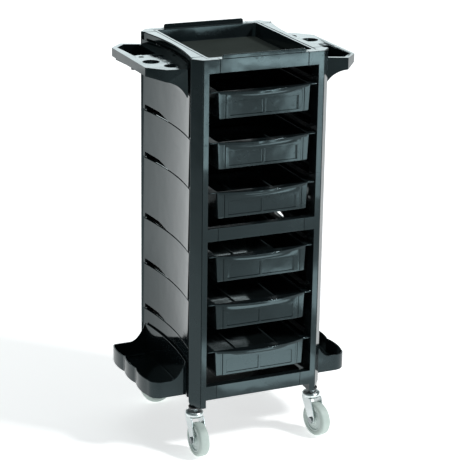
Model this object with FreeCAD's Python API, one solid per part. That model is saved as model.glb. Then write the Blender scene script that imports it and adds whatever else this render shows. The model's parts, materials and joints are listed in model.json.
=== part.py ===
"""Salon trolley cart with six drawers, hook-on holders and four castors.

Frame: X across the cart (its right side is +X), Y from front to back (the front
is -Y), Z up, floor at Z = 0, origin under the middle of the body. Millimetres.
Every function returns one piece; the loops at the end write one file per piece.
"""
import FreeCAD, Part
import math
import os

os.makedirs("parts", exist_ok=True)
Vector = FreeCAD.Vector

# ---------------------------------------------------------------- overall sizes
BODY_HEIGHT = 763.0         # a post, from its foot to the flat top rim
BODY_DEPTH = 326.0          # from the front faces to the rear faces
OPENING_WIDTH = 246.0       # clear width between the posts
POST_FRONT = 13.0           # width of a post's flat front strip

# ---------------------------------------------------------------- clearances
JOINT_GAP = 0.3             # between neighbouring moulded pieces
SLIDE_GAP = 0.5             # between a drawer and what it slides on
RUN_GAP = 0.05              # radial running gap of a turning pin
HUG_GAP = 0.6               # between a hook-on piece and the side panel
OVERLAP = 1.0               # how far fused or cutting solids run past a face

# ---------------------------------------------------------------- castors
WHEEL_R = 37.5
WHEEL_WIDTH = 23.0
HUB_R = 27.0
HUB_RECESS = 4.0
HUB_WEB_EDGE = 1.0          # rim stands this far inside the wheel's face
BOSS_WALL = 5.0             # hub boss around the axle
BOSS_DRAFT = 2.0
RIM_WALL = 3.0
RIM_DRAFT = 1.0
TYRE_SHOULDER = 5.0
TYRE_CHAMFER = 1.6
TYRE_EDGE = 2.0
TRAIL = 22.0                # axle ahead of the swivel axis
STEM_INSET_X = 4.0          # stem outside the front strip's outer edge
STEM_INSET_Y = 24.0         # stem behind the front face
STEM_R = 5.5
STEM_LENGTH = 36.0
SOCKET_R = 8.0
SOCKET_ROOF = 2.0
SOCKET_FLANGE_R = 13.0
SOCKET_FLANGE = 3.0
NUT_ACROSS = 14.0
NUT_HEIGHT = 6.5
HEAD_R = 20.0
HEAD_HEIGHT = 14.0
HEAD_ABOVE_TYRE = 8.5       # clear height between the tyre and the swivel head
HEAD_FILLET = 3.0
KING_R = 5.0
RIVET_EDGE = 2.5            # rivet head around the king pin
RIVET_HEIGHT = 3.0
FORK_THICK = 2.5
FORK_SIDE_GAP = 1.5
FORK_BOSS_R = 9.0
FORK_KNEE = 12.0            # front edge runs nearly upright this far above the axle
FORK_KNEE_IN = 1.0
LEG_INSET = (3.0, 6.0)      # leg inside the head, ahead and behind
LEG_STEP = (7.0, 6.0)       # rear edge steps in this far, this far down
LEG_SEAT = 2.0              # leg let into the head
AXLE_R = 4.0
AXLE_NUT_ACROSS = 13.0
AXLE_NUT_HEIGHT = 4.0
# resting turn of each castor about its stem, degrees; zero puts the wheel ahead
SWIVEL_REST = {
    "front_left": 2.0, "front_right": 12.0,
    "rear_left": 90.0, "rear_right": 192.0,
}

head_bottom = 2 * WHEEL_R + HEAD_ABOVE_TYRE
head_top = head_bottom + HEAD_HEIGHT
foot_height = head_top + NUT_HEIGHT + SOCKET_FLANGE
post_top = foot_height + BODY_HEIGHT
opening_half = OPENING_WIDTH / 2
front_half = opening_half + POST_FRONT
depth_half = BODY_DEPTH / 2
stem_x = front_half + STEM_INSET_X
stem_y = depth_half - STEM_INSET_Y

# ---------------------------------------------------------------- posts and bars
WING_OUT = 19.0             # how far the oblique outer face reaches outward
WING_BACK = 22.5            # how far it runs back from the front face
POST_DEPTH = 33.0           # front face to the back of the post
GROOVE = 1.3                # depth of the line between front face and wing
BAR_DEPTH = 16.0            # thickness of the cross bars, front to back
STUB_LENGTH = 23.4          # stub on the post that receives a cross bar
TONGUE = 12.0               # tongue of a bar inside its stub
TONGUE_INSET = 4.0          # wall of the stub around the tongue
TOP_BAR_HEIGHT = 29.0
MIDDLE_BAR_HEIGHT = 28.0
BOTTOM_BAR_HEIGHT = 32.0
BOTTOM_BAR_RISE = 18.0      # bottom bar above the post's lower end
MIDDLE_BAR_DROP = 2.0       # middle bar below the centre of the drawer space
LIP_HEIGHT = 8.0            # thin lip standing on the top bars
LIP_SHORT = 5.3             # lip ends short of the bar by this much
LIP_THICK = 3.0
LIP_SETBACK = 2.0           # lip behind the bar's face
FOOT_TAPER = 14.0           # height of the tapered post foot
FOOT_INSET = 5.0            # how much the foot's outer corner draws in
BASE_THICK = 3.0            # cabinet floor between the bottom bars

stub_inner = opening_half - STUB_LENGTH
bar_inner_y = depth_half - BAR_DEPTH
post_inner_y = depth_half - POST_DEPTH
span_half = post_inner_y - JOINT_GAP          # pieces that fit between the posts
wing_x = front_half + WING_OUT
bottom_bar_z = foot_height + BOTTOM_BAR_RISE
bottom_bar_top = bottom_bar_z + BOTTOM_BAR_HEIGHT
top_bar_z = post_top - TOP_BAR_HEIGHT
drawer_space = top_bar_z - bottom_bar_top - MIDDLE_BAR_HEIGHT
middle_bar_z = bottom_bar_top + drawer_space / 2 - MIDDLE_BAR_DROP
middle_bar_top = middle_bar_z + MIDDLE_BAR_HEIGHT
BARS = {
    "bottom": (bottom_bar_z, BOTTOM_BAR_HEIGHT),
    "middle": (middle_bar_z, MIDDLE_BAR_HEIGHT),
    "top": (top_bar_z, TOP_BAR_HEIGHT),
}

# ---------------------------------------------------------------- side panels
PANEL_INSET = 1.0           # panel's outer face inside the post's wing corner
PANEL_SAG = 11.0            # how far the face bends in at mid-depth
PANEL_SKIN = 2.0            # continuous inner skin
PANEL_BAND = 4.0            # depth of a band's lower edge in front of the skin
BAND_TILT = 2.4             # how much less a band stands out at its upper edge
BAND_GROOVE = 4.0           # dark line between two bands
PANEL_TOP_GAP = 5.5         # from the rail's underside to the panel's top
STEP_ABOVE_RIM = 4.0        # band line above the drawer rim beside it
SLOT_HEIGHT = 10.0
SLOT_SHOULDER = 0.8         # share of its height the slot has before its rear end
SLOT_SHARES = (0.15, 0.45, 0.94)   # front end, shoulder and rear end, of the half depth

panel_end_x = wing_x - PANEL_INSET
panel_skin_x = panel_end_x - PANEL_BAND - PANEL_SKIN

# ---------------------------------------------------------------- top
RAIL_HEIGHT = 17.0
RAIL_INSET = 3.0            # rail's outer end inside the panel's face
RAIL_SAG = 13.0
TRAY_FLOOR_DROP = 31.0      # tray floor below the top rim
TRAY_WALL = 2.5
TRAY_RIM = 3.7
MAT_THICK = 2.0
MAT_MARGIN = 4.0

rail_z = post_top - RAIL_HEIGHT
rail_end_x = panel_end_x - RAIL_INSET
panel_top = rail_z - PANEL_TOP_GAP
tray_floor = post_top - TRAY_FLOOR_DROP

# ---------------------------------------------------------------- drawers
DRAWERS_PER_BAY = 3
DRAWER_HEIGHT = 58.0
DRAWER_SIDE_ROOM = 18.5     # from the tub's rim to the post
DRAWER_TAPER = 3.0          # how much narrower the tub is at the floor
DRAWER_WALL = 2.4
DRAWER_RIM = 2.6
FLANGE_GAP = 3.0            # between the rim flange and the post
REAR_GAP = 4.0              # behind a closed drawer
TOP_HEAD_ROOM = 38.0        # top bar to the first rim
LOWER_HEAD_ROOM = 33.0      # middle bar to the fourth rim
FOOT_ROOM = 21.0            # under the lowest drawer of each bay
LIP_BOW = 20.0              # pull lip at mid-width, ahead of its corners
LIP_DROP = 6.0              # down-turned edge of the pull lip
PANEL_RAISE = 1.6           # main panel ahead of the corner strips
PANEL_MARGIN = 18.0         # corner strip and groove beside the main panel
FIELD_MARGIN = 9.0          # main panel's border around its sunken field
FIELD_DEPTH = 2.4
FIELD_TOP = 22.0            # below the rim
FIELD_BOTTOM = 52.0
FIELD_RIB = 2.0             # half width of the rib down the field's middle
FLOOR_RIB = 3.0
FLOOR_RIB_HALF = 1.5

drawer_half = opening_half - DRAWER_SIDE_ROOM
flange_half = opening_half - FLANGE_GAP
drawer_back = bar_inner_y - REAR_GAP
front_panel_half = drawer_half - PANEL_MARGIN
field_half = front_panel_half - FIELD_MARGIN

# ---------------------------------------------------------------- runners
RUNNER_THICK = 2.0
RUNNER_SEAT = 10.0          # supporting leg under the rim flange
RUNNER_REACH = 12.0         # how far the legs run outside the opening
RUNNER_WEB = 3.0            # from the flange's edge to the upright web
RUNNER_ABOVE = 5.0          # keeper leg above the drawer rim

# ---------------------------------------------------------------- upper holders
HOLDER_TOP = 24.0           # plate below the top rim
PLATE_THICK = 3.0
HOLDER_WIDTH = 77.0         # plate from the panel's end to its outer edge
HOLDER_SKIRT = 18.0         # depth of the outer wall
END_SKIRT = 26.0            # depth of the end walls where they turn towards the body
HOLDER_WALL = 2.5
HOLDER_ENDS = 3.0           # plate's ends short of the posts
WELL_DEPTH = 27.0
WELL_DRAFT = 1.0            # well's wall thickness beyond the other walls
FLANGE_RISE = 10.0          # back flange above the plate
FLANGE_DROP = 59.0          # back flange below the plate
SWEEP_RISE = 5.0            # how far the end wall's lower curve is hollowed
HOOK_LEDGE = 2.5
HOOK_DEPTH = 12.0
HOOK_GAP = 1.2              # between the hook and the panel's inner skin
HOOK_SHORT = 1.0            # hook short of the flange at each end
BIG_HOLE_R = 18.0
COLLAR = 8.0
KNOB_R = 6.0
KNOB_DROP = 4.0             # knob below the outer wall
KNOB_SHARE = -0.024         # place along the half length
# plan corners as (share of the width, along the cart from the plate's end)
HOLDER_REAR = ((0.60, 19.0), (1.0, -14.0))
HOLDER_FRONT = ((1.0, 44.0), (0.57, 9.0))
# round holes as (share of the width, share of the half length, radius)
TOOL_HOLES = (
    (0.61, -0.31, BIG_HOLE_R), (0.27, -0.69, BIG_HOLE_R - 2),
    (0.17, 0.03, BIG_HOLE_R - 6), (0.65, 0.07, BIG_HOLE_R / 3),
)
# deep well as (share of the width, share of the half length)
WELL_CORNERS = ((0.78, 0.20), (0.125, 0.21), (0.125, 0.97), (0.545, 1.07), (0.857, 0.87))

plate_top = post_top - HOLDER_TOP
holder_half = post_inner_y - HOLDER_ENDS
hug_x = panel_end_x + HUG_GAP                 # hook-on pieces start here at the panel's ends
holder_reach = panel_end_x + HOLDER_WIDTH


def outward_x(share):
    """Place in the left holder at a share of its width from the panel's end."""
    return -panel_end_x - share * HOLDER_WIDTH



# ---------------------------------------------------------------- lower side trays
BIN_ABOVE_BAR = 4.0         # tray's underside above the bottom bar's
BIN_WIDTH = 84.0            # from the panel's end to the outermost bay
BIN_FRONT_GAP = 5.0         # behind the front posts
BIN_REAR_GAP = 12.0         # ahead of the rear posts
BIN_WALL = 2.5
BIN_BACK_HEIGHT = 77.0
BIN_OUTER_HEIGHT = 37.0
BIN_BAYS = 3
BIN_BAY_SAG = 5.0
BIN_CORNER = 26.0
BIN_CHAMFER = 5.0
SCOOP_START = 2.5           # where the rim starts to fall, from the panel's end
SCOOP_RUN = 36.0
SCOOP_DROP = 4.0            # first step below the back rim
SCOOP_BEND = (14.0, 12.0)   # a point of the curve: outward, above the outer rim
TAB_WIDTH = 20.0
TAB_THICK = 3.0
TAB_SPREAD = 60.0
TAB_BELOW_RIM = 24.0
TAB_LIP = 7.0

bin_bottom = bottom_bar_z + BIN_ABOVE_BAR
bin_back_rim = bin_bottom + BIN_BACK_HEIGHT
bin_outer_rim = bin_bottom + BIN_OUTER_HEIGHT
bin_outer_x = panel_end_x + BIN_WIDTH
bin_front = post_inner_y - BIN_FRONT_GAP
bin_rear = post_inner_y - BIN_REAR_GAP
tab_z = bin_back_rim - TAB_BELOW_RIM


def bay_rims(bay_bottom, bay_top, head_room):
    """Rim heights of one bay, shared out evenly between its two bars."""
    first = bay_top - head_room
    last = bay_bottom + FOOT_ROOM + DRAWER_HEIGHT
    pitch = (first - last) / (DRAWERS_PER_BAY - 1)
    return [first - index * pitch for index in range(DRAWERS_PER_BAY)]


rims = bay_rims(middle_bar_top, top_bar_z, TOP_HEAD_ROOM)
rims += bay_rims(bottom_bar_top, middle_bar_z, LOWER_HEAD_ROOM)


# ---------------------------------------------------------------- helpers
def block(x0, x1, y0, y1, z0, z1):
    return Part.makeBox(x1 - x0, y1 - y0, z1 - z0, Vector(x0, y0, z0))


def cylinder(radius, z0, z1, x=0.0, y=0.0):
    return Part.makeCylinder(radius, z1 - z0, Vector(x, y, z0))


def prism(points, z0, z1):
    """Upright prism over a plan outline."""
    wire = Part.makePolygon([Vector(x, y, z0) for x, y in points + points[:1]])
    return Part.Face(wire).extrude(Vector(0, 0, z1 - z0))


def curved_prism(curve, corners, push):
    """Prism over an outline: one curve closed by straight lines through the corners."""
    lines = [Part.makeLine(a, b) for a, b in zip(corners[:-1], corners[1:])]
    wire = Part.Wire(Part.__sortEdges__([curve] + lines))
    return Part.Face(wire).extrude(push)


def mirror_x(shape):
    return shape.mirror(Vector(0, 0, 0), Vector(1, 0, 0))


def mirror_y(shape):
    return shape.mirror(Vector(0, 0, 0), Vector(0, 1, 0))


def turn_z(shape, degrees):
    turned = shape.copy()
    turned.rotate(Vector(0, 0, 0), Vector(0, 0, 1), degrees)
    return turned


def bowed_line(end_x, sag, half, z):
    """Arc at height z from the front end to the rear end, bent in by sag."""
    start = Vector(end_x, -half, z)
    middle = Vector(end_x - sag, 0, z)
    end = Vector(end_x, half, z)
    return Part.Arc(start, middle, end).toShape()


def bowed_ring(inner_x, outer_x, sag, half, z):
    """Closed plan outline between two parallel arcs."""
    inner = bowed_line(inner_x, sag, half, z)
    outer = bowed_line(outer_x, sag, half, z)
    front = Part.makeLine(Vector(inner_x, -half, z), Vector(outer_x, -half, z))
    rear = Part.makeLine(Vector(inner_x, half, z), Vector(outer_x, half, z))
    return Part.Wire(Part.__sortEdges__([inner, rear, outer, front]))


def bowed_band(inner_x, outer_x, sag, half, z0, z1):
    face = Part.Face(bowed_ring(inner_x, outer_x, sag, half, z0))
    return face.extrude(Vector(0, 0, z1 - z0))


def save(name, shape):
    if shape.ShapeType != "Compound":
        shape = shape.removeSplitter()
    shape.exportStep("parts/" + name + ".step")


# ---------------------------------------------------------------- posts and bars
def post_outline(outer_inset=0.0):
    """Plan outline of the post at +X, +Y; the inset draws the wing corner in."""
    corner_x = wing_x - outer_inset
    corner_y = depth_half - WING_BACK - outer_inset / 2
    edge_x = front_half - outer_inset / 3
    return [
        (opening_half, depth_half),
        (edge_x - GROOVE, depth_half),
        (edge_x - GROOVE / 2, depth_half - GROOVE),
        (edge_x + GROOVE / 2, depth_half - GROOVE / 2),
        (corner_x, corner_y),
        (corner_x - 2 * GROOVE, corner_y - 2 * GROOVE),
        (front_half + WING_OUT / 2, post_inner_y),
        (opening_half, post_inner_y),
    ]


def corner_post():
    """Post at +X, +Y, with the stubs and pockets that receive the cross bars."""
    foot_top = foot_height + FOOT_TAPER
    post = prism(post_outline(), foot_top, post_top)
    low = [Vector(x, y, foot_height) for x, y in post_outline(FOOT_INSET)]
    high = [Vector(x, y, foot_top) for x, y in post_outline()]
    low_wire = Part.makePolygon(low + low[:1])
    high_wire = Part.makePolygon(high + high[:1])
    post = post.fuse(Part.makeLoft([low_wire, high_wire], True, True))
    for bar_z, bar_height in BARS.values():
        stub = block(stub_inner, opening_half, bar_inner_y, depth_half, bar_z, bar_z + bar_height)
        pocket = block(
            stub_inner, stub_inner + TONGUE + JOINT_GAP,
            bar_inner_y + TONGUE_INSET - JOINT_GAP, depth_half - TONGUE_INSET + JOINT_GAP,
            bar_z + TONGUE_INSET - JOINT_GAP, bar_z + bar_height - TONGUE_INSET + JOINT_GAP,
        )
        post = post.fuse(stub).cut(pocket)
    bore_top = foot_height + STEM_LENGTH + JOINT_GAP
    bore = cylinder(SOCKET_R + RUN_GAP, foot_height, bore_top, stem_x, stem_y)
    return post.cut(bore)


def cross_bar(level):
    """Bar at +Y between two posts, with a tongue at each end."""
    bar_z, bar_height = BARS[level]
    half = stub_inner - JOINT_GAP
    bar = block(-half, half, bar_inner_y, depth_half, bar_z, bar_z + bar_height)
    tongue = block(
        -half - TONGUE, half + TONGUE,
        bar_inner_y + TONGUE_INSET, depth_half - TONGUE_INSET,
        bar_z + TONGUE_INSET, bar_z + bar_height - TONGUE_INSET,
    )
    bar = bar.fuse(tongue)
    if level == "top":
        lip_half = half - LIP_SHORT
        lip_back = depth_half - LIP_SETBACK
        lip = block(
            -lip_half, lip_half, lip_back - LIP_THICK, lip_back,
            post_top - OVERLAP, post_top + LIP_HEIGHT,
        )
        bar = bar.fuse(lip)
    return bar


def base_plate():
    """Floor of the cabinet, between the bottom bars and the posts."""
    z0 = bottom_bar_z + BASE_THICK
    z1 = z0 + BASE_THICK
    side = opening_half + STUB_LENGTH / 2
    centre = opening_half - JOINT_GAP
    plate = block(-side, side, -span_half, span_half, z0, z1)
    long_half = bar_inner_y - JOINT_GAP
    return plate.fuse(block(-centre, centre, -long_half, long_half, z0, z1))


# ---------------------------------------------------------------- side panel
def band_lines():
    """Heights of the lines between bands, from the top down."""
    return [rim + STEP_ABOVE_RIM for rim in rims[1:]]


def slot_cutter(line_z):
    """Slot above a band line, tall at the rear and running out to the front."""
    low = line_z + BAND_GROOVE / 2
    front, shoulder, rear = [share * span_half for share in SLOT_SHARES]
    outline = [
        (front, low),
        (rear, low),
        (rear, low + SLOT_HEIGHT),
        (shoulder, low + SLOT_HEIGHT * SLOT_SHOULDER),
    ]
    x0 = panel_skin_x - 2 * PANEL_SAG
    wire = Part.makePolygon([Vector(x0, y, z) for y, z in outline + outline[:1]])
    return Part.Face(wire).extrude(Vector(panel_end_x - x0 + OVERLAP, 0, 0))


def side_panel():
    """Panel at +X: a bowed skin carrying six stacked, tilted bands."""
    skin_end = panel_skin_x + PANEL_SKIN
    panel_bottom = bottom_bar_z
    panel = bowed_band(panel_skin_x, skin_end, PANEL_SAG, span_half, panel_bottom, panel_top)
    edges = [panel_top] + band_lines() + [panel_bottom]
    for upper, lower in zip(edges[:-1], edges[1:]):
        high = upper if upper == panel_top else upper - BAND_GROOVE / 2
        low = lower if lower == panel_bottom else lower + BAND_GROOVE / 2
        wires = [
            bowed_ring(skin_end, panel_end_x, PANEL_SAG, span_half, low),
            bowed_ring(skin_end, panel_end_x - BAND_TILT, PANEL_SAG, span_half, high),
        ]
        panel = panel.fuse(Part.makeLoft(wires, True, True))
    for line in band_lines():
        panel = panel.cut(slot_cutter(line))
    for y in (-TAB_SPREAD, TAB_SPREAD):
        panel = panel.cut(block(
            panel_skin_x - 2 * PANEL_SAG, panel_end_x + OVERLAP,
            y - TAB_WIDTH / 2 - JOINT_GAP, y + TAB_WIDTH / 2 + JOINT_GAP,
            tab_z - TAB_THICK - TAB_LIP - JOINT_GAP, tab_z + JOINT_GAP,
        ))
    return panel


# ---------------------------------------------------------------- top
def side_rail():
    """Top rail at +X, straight inside and bowed outside."""
    outer = bowed_line(rail_end_x, RAIL_SAG, span_half, rail_z)
    corners = [
        Vector(rail_end_x, -span_half, rail_z),
        Vector(opening_half, -span_half, rail_z),
        Vector(opening_half, span_half, rail_z),
        Vector(rail_end_x, span_half, rail_z),
    ]
    return curved_prism(outer, corners, Vector(0, 0, RAIL_HEIGHT))


def top_tray():
    """Open tray set between the rails and the top bars, with a turned-out rim."""
    half_x = opening_half - TRAY_RIM
    half_y = bar_inner_y - TRAY_RIM
    rim_x = opening_half - JOINT_GAP
    rim_y = bar_inner_y - JOINT_GAP
    top = post_top - JOINT_GAP
    tub = block(-half_x, half_x, -half_y, half_y, tray_floor - TRAY_WALL, top)
    rim = block(-rim_x, rim_x, -rim_y, rim_y, top - TRAY_WALL, top)
    hollow = block(
        -half_x + TRAY_WALL, half_x - TRAY_WALL, -half_y + TRAY_WALL, half_y - TRAY_WALL,
        tray_floor, top + OVERLAP,
    )
    return tub.fuse(rim).cut(hollow)


def tray_mat():
    half_x = opening_half - TRAY_RIM - TRAY_WALL - MAT_MARGIN
    half_y = bar_inner_y - TRAY_RIM - TRAY_WALL - MAT_MARGIN
    return block(-half_x, half_x, -half_y, half_y, tray_floor, tray_floor + MAT_THICK)


# ---------------------------------------------------------------- drawers
def drawer_tub(half_top, front, back, floor_z, top_z):
    """Tapered tub as a loft between its floor and its rim."""
    def outline(half, z):
        corners = [(-half, front), (half, front), (half, back), (-half, back)]
        points = [Vector(x, y, z) for x, y in corners]
        return Part.makePolygon(points + points[:1])
    return Part.makeLoft([outline(half_top - DRAWER_TAPER, floor_z), outline(half_top, top_z)], True, True)


def pull_lip(front, inset, z0, z1):
    """Slab straight behind and bowed ahead, drawn in by an inset."""
    half = drawer_half + inset
    start = Vector(-half, front, z0)
    end = Vector(half, front, z0)
    bow = Part.Arc(start, Vector(0, front - LIP_BOW + inset, z0), end).toShape()
    return curved_prism(bow, [end, start], Vector(0, 0, z1 - z0))


def drawer(rim_z):
    front = -depth_half
    floor_z = rim_z - DRAWER_HEIGHT
    field_y = front - PANEL_RAISE + FIELD_DEPTH
    field_z = (rim_z - FIELD_BOTTOM, rim_z - FIELD_TOP)
    outer = drawer_tub(drawer_half, front, drawer_back, floor_z, rim_z)
    inner = drawer_tub(
        drawer_half - DRAWER_WALL, front + DRAWER_WALL, drawer_back - DRAWER_WALL,
        floor_z + DRAWER_WALL, rim_z + OVERLAP,
    )
    rim = block(-flange_half, flange_half, front, drawer_back, rim_z - DRAWER_RIM, rim_z)
    raised = block(
        -front_panel_half, front_panel_half, front - PANEL_RAISE, front + DRAWER_WALL / 2,
        floor_z, rim_z - DRAWER_RIM / 2,
    )
    field = block(-field_half, field_half, front - PANEL_RAISE - OVERLAP, field_y, *field_z)
    centre_rib = block(-FIELD_RIB, FIELD_RIB, front - PANEL_RAISE, field_y + FIELD_RIB / 4, *field_z)
    lip = pull_lip(front, 0.0, rim_z - DRAWER_RIM, rim_z)
    edge = pull_lip(front, 0.0, rim_z - LIP_DROP, rim_z - DRAWER_RIM / 2)
    edge = edge.cut(pull_lip(front, DRAWER_WALL, rim_z - LIP_DROP - OVERLAP, rim_z - DRAWER_RIM))
    floor_rib = block(
        -FLOOR_RIB_HALF, FLOOR_RIB_HALF, front + DRAWER_WALL, drawer_back - DRAWER_WALL,
        floor_z + DRAWER_WALL / 2, floor_z + DRAWER_WALL + FLOOR_RIB,
    )
    body = outer.fuse([rim, raised, lip, edge]).cut(inner).cut(field)
    return body.fuse([centre_rib, floor_rib])


def runner(rim_z):
    """Channel at +X that carries and keeps the drawer's rim flange."""
    seat = rim_z - DRAWER_RIM - SLIDE_GAP
    keeper = rim_z + RUNNER_ABOVE
    web = flange_half + RUNNER_WEB
    inner = flange_half - RUNNER_SEAT
    outer = opening_half + RUNNER_REACH
    low = block(inner, outer, -span_half, span_half, seat - RUNNER_THICK, seat)
    upright = block(web, web + RUNNER_THICK, -span_half, span_half, seat - OVERLAP, keeper)
    high = block(
        inner + RUNNER_WEB, web + RUNNER_THICK, -span_half, span_half,
        keeper, keeper + RUNNER_THICK,
    )
    return low.fuse([upright, high])


# ---------------------------------------------------------------- upper holder
def holder_plan(z0, z1, inset=0.0):
    """Solid over the plate's plan at -X: bowed along the body, chamfered at both ends."""
    near = -hug_x - inset
    rear = holder_half - inset
    front = inset - holder_half
    bow = Part.Arc(
        Vector(near, front, z0), Vector(near + PANEL_SAG, 0, z0), Vector(near, rear, z0)
    ).toShape()
    corners = [Vector(near, rear, z0)]
    corners += [Vector(inset + outward_x(out), rear + along, z0) for out, along in HOLDER_REAR]
    corners += [Vector(inset + outward_x(out), front + along, z0) for out, along in HOLDER_FRONT]
    corners.append(Vector(near, front, z0))
    return curved_prism(bow, corners, Vector(0, 0, z1 - z0))


def round_cup(x, y, radius):
    """Collar hanging below the plate around a round hole."""
    return cylinder(radius + HOLDER_WALL, plate_top - COLLAR, plate_top - OVERLAP, x, y)


def holder_holes():
    """Centres and radii of the round tool holes in the left holder."""
    return [(outward_x(out), share * holder_half, radius) for out, share, radius in TOOL_HOLES]


def well_outline():
    """Plan of the deep well at the rear of the left holder."""
    return [(outward_x(out), share * holder_half) for out, share in WELL_CORNERS]


def grow_outline(points, amount):
    """Plan outline moved outward from its own centre by an amount."""
    cx = sum(p[0] for p in points) / len(points)
    cy = sum(p[1] for p in points) / len(points)
    grown = []
    for x, y in points:
        reach = math.hypot(x - cx, y - cy)
        scale = (reach + amount) / reach
        grown.append((cx + (x - cx) * scale, cy + (y - cy) * scale))
    return grown


def sweep_cutter():
    """Trims the walls from below: level outside, sweeping down to the body."""
    front = -holder_half - BODY_DEPTH
    turn_x = outward_x(HOLDER_FRONT[1][0])
    near = -hug_x - HOLDER_WALL
    far = -holder_reach - OVERLAP
    low = plate_top - FLANGE_DROP
    start = Vector(turn_x, front, plate_top - END_SKIRT)
    end = Vector(near, front, low)
    middle = (start + end) * 0.5 + Vector(SWEEP_RISE, 0, SWEEP_RISE)
    curve = Part.Arc(start, middle, end).toShape()
    corners = [
        end,
        Vector(near, front, low - OVERLAP),
        Vector(far, front, low - OVERLAP),
        Vector(far, front, plate_top - HOLDER_SKIRT),
        start,
    ]
    return curved_prism(curve, corners, Vector(0, -2 * front, 0))


def upper_holder():
    """Hook-on tool holder on the left side; the right one is turned half round."""
    low = plate_top - FLANGE_DROP
    shell = holder_plan(low, plate_top)
    shell = shell.cut(holder_plan(low - OVERLAP, plate_top - PLATE_THICK, HOLDER_WALL))
    body = shell.cut(sweep_cutter())
    well = well_outline()
    tub = grow_outline(well, HOLDER_WALL + WELL_DRAFT)
    body = body.fuse(prism(tub, plate_top - WELL_DEPTH, plate_top - OVERLAP))
    for x, y, radius in holder_holes():
        body = body.fuse(round_cup(x, y, radius))
    flange = bowed_band(
        hug_x, hug_x + HOLDER_WALL, PANEL_SAG, holder_half,
        plate_top - OVERLAP, plate_top + FLANGE_RISE,
    )
    ledge_z = panel_top + JOINT_GAP
    hook_x = panel_skin_x - HOOK_GAP - HOLDER_WALL
    hook_half = holder_half - HOOK_SHORT
    ledge = bowed_band(
        hook_x, hug_x + HOLDER_WALL / 2, PANEL_SAG, hook_half,
        ledge_z, ledge_z + HOOK_LEDGE,
    )
    hook = bowed_band(
        hook_x, hook_x + HOLDER_WALL, PANEL_SAG, hook_half,
        ledge_z - HOOK_DEPTH, ledge_z + OVERLAP,
    )
    body = body.fuse([mirror_x(flange), mirror_x(ledge), mirror_x(hook)])
    knob_x = KNOB_R - holder_reach
    knob_z = plate_top - HOLDER_SKIRT - KNOB_DROP
    knob_y = KNOB_SHARE * holder_half
    body = body.fuse(cylinder(KNOB_R, knob_z, plate_top - OVERLAP, knob_x, knob_y))
    well_floor = plate_top - WELL_DEPTH + HOLDER_WALL
    body = body.cut(prism(well, well_floor, plate_top + OVERLAP))
    for x, y, radius in holder_holes():
        body = body.cut(cylinder(radius, plate_top - COLLAR - OVERLAP, plate_top + OVERLAP, x, y))
    return body


# ---------------------------------------------------------------- lower side tray
def bin_wire(z, inset):
    """Plan of the lower tray at +X, its outer wall in bowed bays."""
    hug = hug_x + inset
    front = inset - bin_front
    rear = bin_rear - inset
    outer = bin_outer_x - BIN_BAY_SAG - inset
    front_x = hug - PANEL_SAG * (1 - (front / span_half) ** 2)
    rear_x = hug - PANEL_SAG * (1 - (rear / span_half) ** 2)
    corner = BIN_CORNER - inset / 2
    turn = corner * (1 - math.sqrt(0.5))
    bay_start = front + corner
    bay_end = rear - BIN_CHAMFER
    front_corner = Vector(front_x, front, z)
    rear_corner = Vector(rear_x, rear, z)
    edges = [
        Part.Arc(front_corner, Vector(hug - PANEL_SAG, 0, z), rear_corner).toShape(),
        Part.makeLine(front_corner, Vector(outer - corner, front, z)),
        Part.makeLine(rear_corner, Vector(outer - BIN_CHAMFER, rear, z)),
        Part.makeLine(Vector(outer - BIN_CHAMFER, rear, z), Vector(outer, bay_end, z)),
        Part.Arc(
            Vector(outer - corner, front, z), Vector(outer - turn, front + turn, z),
            Vector(outer, bay_start, z),
        ).toShape(),
    ]
    step = (bay_end - bay_start) / BIN_BAYS
    for index in range(BIN_BAYS):
        y0 = bay_start + index * step
        crest = Vector(outer + BIN_BAY_SAG, y0 + step / 2, z)
        edges.append(Part.Arc(Vector(outer, y0, z), crest, Vector(outer, y0 + step, z)).toShape())
    return Part.Wire(Part.__sortEdges__(edges))


def bin_scoop():
    """Cutter that lowers the rim from the back wall towards the outer wall."""
    inner_x = panel_end_x + SCOOP_START
    far_x = bin_outer_x + OVERLAP
    y0 = -bin_front - OVERLAP
    above = bin_back_rim + OVERLAP
    start = Vector(inner_x, y0, bin_back_rim - SCOOP_DROP)
    middle = Vector(inner_x + SCOOP_BEND[0], y0, bin_outer_rim + SCOOP_BEND[1])
    end = Vector(inner_x + SCOOP_RUN, y0, bin_outer_rim)
    curve = Part.Arc(start, middle, end).toShape()
    corners = [
        end,
        Vector(far_x, y0, bin_outer_rim),
        Vector(far_x, y0, above),
        Vector(inner_x, y0, above),
        start,
    ]
    return curved_prism(curve, corners, Vector(0, bin_rear + OVERLAP - y0, 0))


def lower_tray():
    """Side bin at +X that hooks into the side panel."""
    outer = Part.Face(bin_wire(bin_bottom, 0.0)).extrude(Vector(0, 0, bin_back_rim - bin_bottom))
    floor = bin_bottom + BIN_WALL
    inner = Part.Face(bin_wire(floor, BIN_WALL)).extrude(Vector(0, 0, bin_back_rim - floor + OVERLAP))
    body = outer.cut(inner).cut(bin_scoop())
    for y in (-TAB_SPREAD, TAB_SPREAD):
        lip_x = panel_skin_x - PANEL_SAG - 3 * JOINT_GAP - TAB_THICK
        wall_x = hug_x - PANEL_SAG * (1 - (TAB_SPREAD / span_half) ** 2) + BIN_WALL / 2
        tab = block(lip_x, wall_x, y - TAB_WIDTH / 2, y + TAB_WIDTH / 2, tab_z - TAB_THICK, tab_z)
        lip = block(
            lip_x, lip_x + TAB_THICK, y - TAB_WIDTH / 2, y + TAB_WIDTH / 2,
            tab_z - TAB_THICK - TAB_LIP, tab_z,
        )
        body = body.fuse([tab, lip])
    return body


# ---------------------------------------------------------------- castors
socket_top = foot_height + STEM_LENGTH
stem_top = socket_top - SOCKET_ROOF - JOINT_GAP
rivet_bottom = head_bottom - RIVET_HEIGHT


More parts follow.
